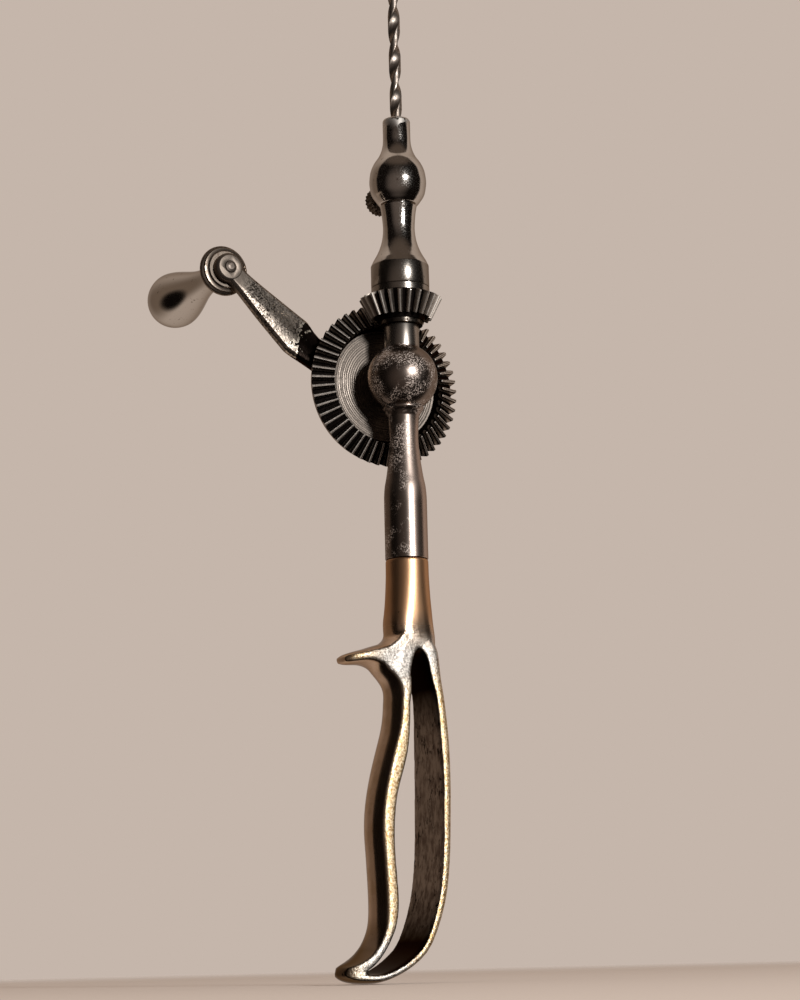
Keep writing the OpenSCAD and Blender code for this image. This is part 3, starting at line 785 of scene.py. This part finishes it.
@dataclass
class Chuck:
    """The two-part nickel chuck: a flared body with a straight collar, and a bulb with a slim nose."""

    lip: float = 0.25
    waist: float = 5.0
    collar: float = 6.9
    nose: float = 4.35

    def build(self) -> None:
        """Turns both parts and sets them on the spindle."""
        lathe = Lathe(Axis.SPINDLE, Vector((0, 0, 0)))
        body = lathe.turn(self.body_profile())
        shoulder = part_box("chuck_body")[0].z + self.collar * MM
        for face in body.faces:
            face.material_index = int(face.calc_center_median().z < shoulder)
        set_piece(body, "chuck_body_turned", Body.SPINDLE, NICKEL, ["chuck_body"], others=[SATIN_NICKEL])
        nose = lathe.turn(self.nose_profile())
        set_piece(nose, "chuck_nose_turned", Body.SPINDLE, NICKEL, ["chuck_nose"])

    def body_profile(self) -> list[Point]:
        """Gives the collar, the flare above it and the waist."""
        low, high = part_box("chuck_body")
        c, z, w = high.x / MM, low.z / MM, self.waist
        flare = [
            (c - 0.75, z + 8.6), (c - 1.95, z + 10.7), (w + 1.2, z + 12.8), (w + 0.4, z + 15.5),
            (w, z + 18.7), (w + 0.1, z + 21.7), (w + 0.4, z + 24.5), (w + 0.75, z + 26.45),
        ]
        return [
            (0, z), (c - self.lip, z), (c - 0.07, z + 0.07), (c, z + self.lip), (c, z + self.collar),
            (c - 0.08, z + 7.15), (c - 0.25, z + 7.5), *smooth_line(flare), (w + 0.65, z + 26.6),
            (w + 0.2, z + 26.65), (w + 0.2, z + 27.2), (0, z + 27.2),
        ]

    def nose_profile(self) -> list[Point]:
        """Gives the bulb, the slope above it and the nose round the bit."""
        low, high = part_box("chuck_nose")
        b, z, top = high.x / MM, low.z / MM, high.z / MM
        w, n = self.waist, self.nose
        bulb = [
            (w + 1.15, z + 0.15), (w + 2.0, z + 1.2), (b - 0.65, z + 3.3), (b - 0.06, z + 6), (b, z + 8.2),
            (b - 0.45, z + 11), (b - 1.5, z + 13.4), (n + 1.6, z + 15.6), (n + 0.65, z + 17.7),
            (n + 0.13, z + 19.9), (n, z + 21.8),
        ]
        return [
            (0, z), (w + 0.85, z), *smooth_line(bulb), (n, top - 0.95), (n - 0.1, top - 0.6),
            (n - 0.35, top - 0.25), (n - 0.9, top), (2.6, top), (1.8, top - 0.8), (0, top - 0.8),
        ]


@dataclass
class Stem:
    """The frame's blackened ball and stem, with the neck that the spindle runs in."""

    neck_r: float = 5.45
    neck_top: float = 16.6
    waist_r: float = 4.45
    joint: float = -57.0
    joint_r: float = 6.6

    def build(self) -> None:
        """Turns the stem and sets it in the frame."""
        lathe = Lathe(Axis.SPINDLE, APEX)
        set_piece(lathe.turn(self.profile()), "stem_turned", Body.FRAME, BLACKENED, ["frame_stem"])

    def profile(self) -> list[Point]:
        """Gives the neck, the ball, the ring under it and the stem down to the joint."""
        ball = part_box("frame_stem")[1].x / MM
        r, w, n = self.joint_r, self.waist_r, self.neck_r
        ring = [(6.1, -9.05), (6.3, -9.35), (6.38, -9.75), (6.2, -10.3), (5.6, -10.95), (w + 0.45, -12.2)]
        stem = [
            (w + 0.4, -12.3), (w + 0.1, -16), (w, -20), (r - 1.8, -24.5), (r - 1.3, -28.5),
            (r - 0.85, -31.5), (r - 0.3, -34.4), (r - 0.05, -37.5), (r, -41),
        ]
        return [
            (0, self.neck_top), (n - 0.4, self.neck_top), (n - 0.1, self.neck_top - 0.1),
            (n, self.neck_top - 0.4), *arc(ball, math.degrees(math.acos(n / ball)), -56, 64),
            *smooth_line(ring, 4), *smooth_line(stem), (r, self.joint + 0.1), (r - 0.1, self.joint),
            (0, self.joint),
        ]


@dataclass
class Handle:
    """The cast skeleton handle, with its sandy rims, its last plate and its window's walls marked.

    A fade is where a mark starts, and the span over which it becomes full.
    """

    EDGE_MARK = "edge_wear"
    INNER_MARK = "inner_wall"
    PLATE_MARK = "plate_left"
    voxel: float = 0.36
    pull: float = 0.5
    smoothing: int = 10
    flank_smoothing: int = 30
    flank_top: float = 69.0
    flank_bend: float = 0.5
    window: tuple[Point, ...] = (
        (0.5, 40.0), (0.6, 30.0), (0.6, 19.0), (-1.8, 0.0), (-2.6, -20.0), (-4.6, -36.0), (-13.0, -47.0),
    )
    neck_fade: Point = (54.0, -9.0)
    rim_fade: Point = (0.55, 0.3)
    wall_fade: Point = (0.3, 0.4)
    plated: tuple[Point, ...] = ((-7.0, 42.0), (1.0, 46.0), (-15.0, -47.0))
    plate_fade: Point = (13.5, -9.0)
    knee: Point = (-11.5, 39.5)
    knee_reach: float = 6.5
    knee_smoothing: int = 40

    def build(self) -> None:
        """Eases a copy of the cast solid and sets it in the frame."""
        mesh = self.eased()
        self.mark(mesh)
        set_piece(mesh, "handle_cast", Body.FRAME, HANDLE_BRASS, ["handle"], crease=60.0)

    def eased(self) -> Mesh:
        """Remeshes a copy of the solid finely and smooths it."""
        holder = add_object("handle_rough", store(cad_copy("handle"), "handle_rough"))
        remesh = holder.modifiers.new("fine", "REMESH")
        remesh.mode = "VOXEL"
        remesh.voxel_size = self.voxel * MM
        fine = holder.evaluated_get(bpy.context.evaluated_depsgraph_get())
        mesh = bmesh.new()
        mesh.from_mesh(fine.to_mesh())
        bpy.data.objects.remove(holder)
        self.smooth(mesh, mesh.verts[:], self.smoothing)
        mesh.normal_update()
        below = [v for v in mesh.verts if v.co.z < self.flank_top * MM]
        flanks = [v for v in below if abs(v.normal.y) < self.flank_bend]
        self.smooth(mesh, flanks, self.flank_smoothing)
        knee = Vector(self.knee)
        under = [v for v in flanks if (Vector((v.co.x, v.co.z)) / MM - knee).length < self.knee_reach]
        self.smooth(mesh, under, self.knee_smoothing)
        return mesh

    def smooth(self, mesh: Mesh, points: list[bmesh.types.BMVert], passes: int) -> None:
        """Smooths some of the mesh's points over a number of passes."""
        for _ in range(passes):
            bmesh.ops.smooth_vert(
                mesh, verts=points, factor=self.pull, use_axis_x=True, use_axis_y=True, use_axis_z=True
            )

    def mark(self, mesh: Mesh) -> None:
        """Marks how far each point is on a rim, on a wall of the window and on a plated patch."""
        marks = (self.EDGE_MARK, self.INNER_MARK, self.PLATE_MARK)
        for name in marks:
            mesh.verts.layers.float.new(name)
        edge, inner, plate = (mesh.verts.layers.float[name] for name in marks)
        mesh.normal_update()
        for v in mesh.verts:
            here = Vector((v.co.x, v.co.z)) / MM
            towards = Vector((v.normal.x, v.normal.z)).dot(self.to_window(here))
            below_neck = share(here.y, *self.neck_fade)
            v[edge] = below_neck * share(abs(v.normal.y), *self.rim_fade)
            v[inner] = below_neck * share(towards, *self.wall_fade)
            v[plate] = share(min((here - Vector(p)).length for p in self.plated), *self.plate_fade)

    def to_window(self, here: Vector) -> Vector:
        """Gives the direction from a point to the window's middle line, seen from the side."""
        spine = [Vector(p) for p in self.window]
        nearest = []
        for a, b in zip(spine, spine[1:]):
            along = (here - a).dot(b - a) / (b - a).length_squared
            nearest.append(a + (b - a) * share(along) - here)
        return min(nearest, key=lambda way: way.length).normalized()


@dataclass
class BevelGear:
    """A straight bevel gear whose tip lands are rubbed and whose roots are given painted shade."""

    LAND_MARK = "land"
    RUBBED_FACE = 1
    BLANK_FACE = 2
    node: str
    name: str
    body: Body
    axis: Axis
    teeth: int
    mate_teeth: int
    finish: Finish
    blank: Finish
    blank_from: float
    module: float = 1.0
    tooth: Point = (-1.3, 2.3)
    least_reach: float = 0.1
    land_from: float = 0.97
    land_bend: float = 25.0
    ease: float = 0.17

    def build(self) -> None:
        """Eases the tip lands of a copy of the solid, marks its teeth and sets it on its body."""
        mesh = cad_copy(self.node)
        lands = [e for e in mesh.edges if min(self.height(v.co) for v in e.verts) > self.land_from]
        sharp = [e for e in lands if e.calc_face_angle(0.0) > math.radians(self.land_bend)]
        eased = round_edges(mesh, sharp, self.ease)
        mark = mesh.verts.layers.float.new(self.LAND_MARK)
        for v in mesh.verts:
            v[mark] = self.height(v.co)
        for face in eased["faces"]:
            face.material_index = self.RUBBED_FACE
        for face in mesh.faces:
            if self.along(face.calc_center_median()) > self.blank_from:
                face.material_index = self.BLANK_FACE
        others = [RUBBED_STEEL, self.blank]
        set_piece(mesh, self.name, self.body, self.finish, [self.node], crease=22.0, others=others)

    def along(self, point: Vector) -> float:
        """Gives a point's distance along the gear's axis from where the two axes meet."""
        return (point / MM - APEX).dot(Vector(self.axis.value))

    def height(self, point: Vector) -> float:
        """Gives a point's height on its tooth, from 0 at the root to 1 at the tip land."""
        along = self.along(point)
        radius = (point / MM - APEX - along * Vector(self.axis.value)).length
        pitch = math.atan2(self.teeth, self.mate_teeth)
        cone = self.module * math.hypot(self.teeth, self.mate_teeth) / 2
        reach = (radius * math.sin(pitch) + along * math.cos(pitch)) / cone
        rise = (radius * math.cos(pitch) - along * math.sin(pitch)) / max(reach, self.least_reach)
        return share(rise / self.module, *self.tooth)


@dataclass
class BevelDrive:
    """The drive gear with its turned face, and the pinion."""

    gear_teeth: int = 51
    pinion_teeth: int = 24
    hub: float = 26.4
    back: float = 13.6
    face: float = 11.65
    face_inner: float = 5.6
    face_outer: float = 17.7
    face_depth: float = 0.3
    face_gap: float = 0.01
    groove_pitch: float = 0.75
    groove_depth: float = 0.035
    groove_half: float = 0.16

    def build(self) -> None:
        """Makes both gears and the face's turning grooves."""
        small, large = self.pinion_teeth, self.gear_teeth
        spindle = (Body.SPINDLE, Axis.SPINDLE, small, large)
        BevelGear("pinion", "pinion_cut", *spindle, PINION_TEETH, SATIN_NICKEL, self.hub).build()
        crank = (Body.CRANK, Axis.AXLE, large, small)
        BevelGear("drive_gear", "gear_cut", *crank, GEAR_TEETH, GEAR_FACE, self.back).build()
        lathe = Lathe(Axis.AXLE, APEX, steps=160)
        set_piece(lathe.turn(self.face_profile(), bored=True), "gear_face_turned", Body.CRANK, GEAR_FACE)

    def face_profile(self) -> list[Point]:
        """Gives the gear's flat face with its turning grooves, standing just clear of the solid's."""
        front = self.face - self.face_gap - self.groove_depth
        back = self.face + self.face_depth
        half = self.groove_half
        line = [(self.face_inner, back), (self.face_inner, front)]
        count = int((self.face_outer - self.face_inner) / self.groove_pitch)
        for k in range(1, count + 1):
            r = self.face_inner + (self.face_outer - self.face_inner) * k / (count + 1)
            line += [(r - half, front), (r, front + self.groove_depth), (r + half, front)]
        return [*line, (self.face_outer, front), (self.face_outer, back)]


@dataclass
class Crank:
    """The crank arm, its turning knob and the knob's flange."""

    arm_ease: float = 0.12
    bore: float = 1.94
    sink: float = 1.55
    sink_depth: float = 2.65
    knob_inset: float = 0.05
    knob_smoothing: int = 60
    knob_line: tuple[Point, ...] = (
        (0.48, 0.0), (0.435, 0.1), (0.435, 0.22), (0.51, 0.36), (0.72, 0.53), (0.89, 0.66),
        (0.985, 0.76), (1.0, 0.81), (0.935, 0.89), (0.73, 0.96), (0.47, 1.0),
    )

    def build(self) -> None:
        """Makes the arm, the knob and its flange."""
        arm = cad_copy("crank_arm")
        ease_edges(arm, self.arm_ease)
        set_piece(arm, "crank_arm_forged", Body.CRANK, ARM_PLATE, ["crank_arm"])
        place = middle("knob")
        lathe = Lathe(Axis.AXLE, Vector((place.x, 0, place.z)))
        knob = lathe.turn(self.knob_profile(), bored=True)
        set_piece(knob, "knob_turned", Body.KNOB, KNOB_NICKEL, ["knob"])
        flange = lathe.turn(self.flange_profile(), bored=True)
        set_piece(flange, "knob_flange_turned", Body.KNOB, FLANGE_BRASS, ["knob_flange"])

    def knob_profile(self) -> list[Point]:
        """Gives the pear-shaped knob round its pin."""
        low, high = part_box("knob")
        r, y, length = (high.x - low.x) / (2 * MM) - self.knob_inset, low.y / MM, (high.y - low.y) / MM
        swell = smooth_line([(a * r, y + b * length) for a, b in self.knob_line], 10)
        for _ in range(self.knob_smoothing):
            trios = zip(swell, swell[1:], swell[2:])
            even = [tuple((a + 2 * b + c) / 4 for a, b, c in zip(*trio)) for trio in trios]
            swell = [swell[0], *even, swell[-1]]
        end, sink, seat = y + length, self.bore + self.sink, y + length - self.sink_depth
        return [(self.bore, y), *swell, (sink, end), (sink, seat), (self.bore, seat)]

    def flange_profile(self) -> list[Point]:
        """Gives the flange's three stepped rings."""
        low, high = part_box("knob_flange")
        r, y, top = (high.x - low.x) / (2 * MM), low.y / MM, high.y / MM
        return [
            (self.bore, y), (r - 2.25, y), (r - 2.05, y + 0.2), (r - 1.95, y + 0.6), (r - 1.75, y + 0.72),
            (r - 1.0, y + 0.86), (r - 0.85, y + 1.0), (r - 0.78, y + 1.4), (r - 0.55, y + 1.55),
            (r - 0.2, y + 1.7), (r - 0.05, y + 1.9), (r, y + 2.2), (r, y + 2.65), (r - 0.12, y + 2.95),
            (r - 0.45, y + 3.2), (r - 2.2, y + 3.5), (r - 3.0, top), (self.bore, top),
        ]


@dataclass
class TwistBit:
    """The two-fluted bit, from the chuck's mouth to its point."""

    lead: float = 26.0
    point: float = 1.05
    point_share: float = 0.1
    sunk: float = 1.0
    turns_per_step: float = 1 / 40
    corners: int = 60
    phase: float = 55.0
    land: float = 0.585
    flute_depth: float = 0.46
    flute_shape: float = 0.55

    def build(self) -> None:
        """Spins the bit's section up its lead and closes both ends."""
        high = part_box("drill_bit")[1]
        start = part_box("chuck_nose")[1].z / MM - self.sunk
        top = high.z / MM - self.point
        radius = high.x / MM
        mesh = bmesh.new()
        section = [mesh.verts.new(self.corner(k, radius, start)) for k in range(self.corners)]
        rim = [mesh.edges.new(pair) for pair in zip(section, [*section[1:], section[0]])]
        turns = (top - start) / self.lead
        steps = int(turns / self.turns_per_step)
        spun = bmesh.ops.spin(
            mesh, geom=section + rim, axis=Axis.SPINDLE.value, dvec=(0, 0, (top - start) / steps * MM),
            angle=math.tau * turns, steps=steps,
        )
        last = [e for e in spun["geom_last"] if isinstance(e, bmesh.types.BMEdge)]
        drawn = bmesh.ops.extrude_edge_only(mesh, edges=last)["geom"]
        tip = [v for v in drawn if isinstance(v, bmesh.types.BMVert)]
        bmesh.ops.scale(mesh, vec=(self.point_share, self.point_share, 1), verts=tip)
        bmesh.ops.translate(mesh, vec=(0, 0, self.point * MM), verts=tip)
        bmesh.ops.holes_fill(mesh, edges=[e for e in mesh.edges if e.is_boundary])
        bmesh.ops.recalc_face_normals(mesh, faces=mesh.faces[:])
        set_piece(mesh, "drill_bit_fluted", Body.SPINDLE, BIT_STEEL, ["drill_bit"], crease=40.0)

    def corner(self, k: int, radius: float, height: float) -> Vector:
        """Gives one corner of the bit's section: two lands, and two flutes at right angles to them."""
        angle = math.tau * k / self.corners
        into_flute = max(0.0, (abs(math.sin(angle)) - self.land) / (1 - self.land))
        reach = radius * (1 - self.flute_depth * into_flute**self.flute_shape)
        turned = angle + math.radians(self.phase)
        return Vector((reach * math.cos(turned), reach * math.sin(turned), height)) * MM


@dataclass
class Fittings:
    """The pieces whose CAD shape already serves: screws, pins, bushes and washers."""

    knurl_ease: float = 0.08

    def build(self) -> None:
        """Dresses each fitting and eases the thumbscrew's knurl."""
        thumb = cad_copy("thumbscrew")
        ease_edges(thumb, self.knurl_ease)
        set_piece(thumb, "thumbscrew_knurled", Body.THUMBSCREW, DARK_STEEL, ["thumbscrew"])
        screws = ("axle_screw", "arm_screw_inner", "arm_screw_outer", "spindle_screw")
        kept = {
            DARK_STEEL: (*screws, "pinion_pin", "thrust_washer"),
            BRIGHT_STEEL: ("axle_stud", "axle_washer", "spindle", "thrust_pad"),
            BUSH_BRONZE: ("spindle_bush", "gear_bush"),
            FLANGE_BRASS: ("tang_pin",),
            RIVET_NICKEL: ("knob_pin",),
        }
        for finish, nodes in kept.items():
            for node in nodes:
                dress_node(node, finish)


# Camera, light and floor


@dataclass
class PhotoCamera:
    """The photograph's camera, from where the ball's middle falls in the picture."""

    turn: float = 29.23
    tilt: float = -10.99
    roll: float = 1.37
    focal_px: float = 2400.0
    axis_row: float = 496.16
    ball_column: float = 402.46
    ball_row: float = 378.30
    mm_per_px: float = 0.31
    sensor: float = 36.0
    nearest: float = 0.05

    def __post_init__(self) -> None:
        """Works out the picture's directions: right, up and away from the camera."""
        turn, tilt, roll = (math.radians(a) for a in (self.turn, self.tilt, self.roll))
        across = Vector((math.cos(turn), -math.sin(turn), 0))
        away = Vector((math.sin(turn), math.cos(turn), 0))
        rise = away * math.sin(tilt) + Vector((0, 0, math.cos(tilt)))
        self.forward = away * math.cos(tilt) - Vector((0, 0, math.sin(tilt)))
        self.right = across * math.cos(roll) - rise * math.sin(roll)
        self.up = across * math.sin(roll) + rise * math.cos(roll)

    def build(self) -> None:
        """Sets the camera where the photograph was taken from."""
        data = bpy.data.cameras.new("photo_camera")
        data.sensor_width = self.sensor
        data.lens = self.sensor * self.focal_px / IMAGE_HEIGHT
        data.shift_y = (self.axis_row - IMAGE_HEIGHT / 2) / IMAGE_HEIGHT
        data.clip_start = self.nearest
        camera = add_object("photo_camera", data)
        scale = self.mm_per_px
        aside = (IMAGE_WIDTH / 2 - self.ball_column) * scale * self.right
        above = (self.ball_row - self.axis_row) * scale * self.up
        eye = APEX + aside + above - self.forward * self.focal_px * scale
        rotation = Matrix((self.right, self.up, -self.forward)).transposed().to_4x4()
        camera.matrix_world = Matrix.Translation(eye * MM) @ rotation
        bpy.context.scene.camera = camera


@dataclass
class Studio:
    """A pale sweep behind the drill, a dim room before it, and one soft lamp from the upper right.

    The room has a glow in its middle and a lighter ceiling. A mask is the two cosines from a direction
    where its tone starts and is full.
    """

    cream: str = "#c5b6ab"
    floor_tone: str = "#d9cdc3"
    shade: str = "#7a6a5d"
    dim: str = "#100c0a"
    glow: str = "#645a54"
    ceiling: str = "#5c5047"
    fill: float = 0.9
    lean: float = 0.08
    behind_mask: Point = (0.13, 0.24)
    shaded_mask: Point = (0.4, 0.95)
    before_mask: Point = (0.5, 1.0)
    above_mask: Point = (0.7, 0.97)
    lamp_power: float = 34.0
    lamp_size: float = 0.32
    lamp_distance: float = 2.0
    lamp_aim: Triple = (0.51, 0.37, 0.78)
    floor_radius: float = 1.4
    floor_fade: float = 0.35
    floor_sides: int = 96
    floor_roughness: float = 0.9
    floor_gloss: float = 0.1

    def build(self, camera: PhotoCamera) -> None:
        """Lights the drill as the camera sees it, and stands it on its floor."""
        bpy.context.scene.view_settings.view_transform = "Standard"
        self.light_room(camera)
        self.hang_lamp(camera)
        self.lay_floor()

    def light_room(self, camera: PhotoCamera) -> None:
        """Makes the world: the sweep for the eye and for metal, and an even fill for all else."""
        world = bpy.data.worlds.new("studio")
        bpy.context.scene.world = world
        world.use_nodes = True
        tree = world.node_tree
        tree.nodes.clear()
        way = add_node(tree, "TexCoord").outputs["Generated"]
        ways = (
            (camera.forward - self.lean * camera.right, self.behind_mask),
            (-camera.right, self.shaded_mask),
            (-camera.forward, self.before_mask),
            (camera.up, self.above_mask),
        )
        behind, shaded, before, above = (
            step(tree, measure(tree, "DOT_PRODUCT", way, aim), *mask, SOFT) for aim, mask in ways
        )
        room_tone = mix(tree, above, mix(tree, before, self.dim, self.glow), self.ceiling)
        seen = mix(tree, behind, room_tone, mix(tree, shaded, self.cream, self.shade))
        cream = linear(self.cream)
        fill, room, plain = (
            add_node(tree, "Background", {"Color": tone, "Strength": strength}).outputs[0]
            for tone, strength in ((cream, self.fill), (seen, 1.0), (cream, 1.0))
        )
        rays = add_node(tree, "LightPath").outputs
        mirrored = largest(tree, rays["Is Glossy Ray"], rays["Is Transmission Ray"])
        metal = add_node(tree, "MixShader", {0: mirrored, 1: fill, 2: room}).outputs[0]
        eye = {0: rays["Is Camera Ray"], 1: metal, 2: plain}
        shown = add_node(tree, "MixShader", eye).outputs[0]
        add_node(tree, "OutputWorld", {"Surface": shown})

    def hang_lamp(self, camera: PhotoCamera) -> None:
        """Hangs the soft lamp on the camera's right, above it."""
        right, up, back = self.lamp_aim
        way = (right * camera.right + up * camera.up - back * camera.forward).normalized()
        data = bpy.data.lights.new("soft_lamp", "AREA")
        data.shape = "DISK"
        data.size = self.lamp_size
        data.energy = self.lamp_power
        lamp = add_object("soft_lamp", data)
        lamp.location = Vector((0, 0, AXLE_HEIGHT * MM)) + way * self.lamp_distance
        lamp.rotation_mode = "QUATERNION"
        lamp.rotation_quaternion = way.to_track_quat("Z", "Y")

    def lay_floor(self) -> None:
        """Lays the pale floor under the handle's lowest point. Metal shows the room instead of it."""
        mesh = bmesh.new()
        bmesh.ops.create_circle(mesh, cap_ends=True, segments=self.floor_sides, radius=self.floor_radius)
        bmesh.ops.translate(mesh, vec=(0, 0, CAD_BOX[0].z), verts=mesh.verts[:])
        data = store(mesh, "floor")
        paint = bpy.data.materials.new("pale_floor")
        paint.use_nodes = True
        shader = paint.node_tree.nodes["Principled BSDF"]
        shader.inputs["Base Color"].default_value = linear(self.floor_tone)
        shader.inputs["Roughness"].default_value = self.floor_roughness
        shader.inputs["Specular IOR Level"].default_value = self.floor_gloss
        self.fade_floor(paint.node_tree, shader)
        data.materials.append(paint)
        floor = add_object("floor", data)
        floor.visible_glossy = False

    def fade_floor(self, tree: Tree, shader: Node) -> None:
        """Lets the floor melt into the sweep away from the drill."""
        place = add_node(tree, "TexCoord").outputs["Object"]
        flat = add_node(tree, "Mapping", {"Vector": place, "Scale": (1.0, 1.0, 0.0)}).outputs[0]
        fade = step(tree, measure(tree, "LENGTH", flat), self.floor_fade, self.floor_radius, SOFT)
        clear = add_node(tree, "BsdfTransparent").outputs[0]
        blend = add_node(tree, "MixShader", {0: fade, 1: shader.outputs[0], 2: clear})
        tree.links.new(blend.outputs[0], tree.nodes["Material Output"].inputs["Surface"])


def main() -> None:
    """Builds the drill's pieces, then the camera and the studio round them."""
    logging.basicConfig(level=logging.INFO, format="%(message)s")
    for assembly in (Chuck(), Stem(), Handle(), BevelDrive(), Crank(), TwistBit(), Fittings()):
        assembly.build()
    camera = PhotoCamera()
    camera.build()
    Studio().build(camera)


if __name__ == "__main__":
    main()
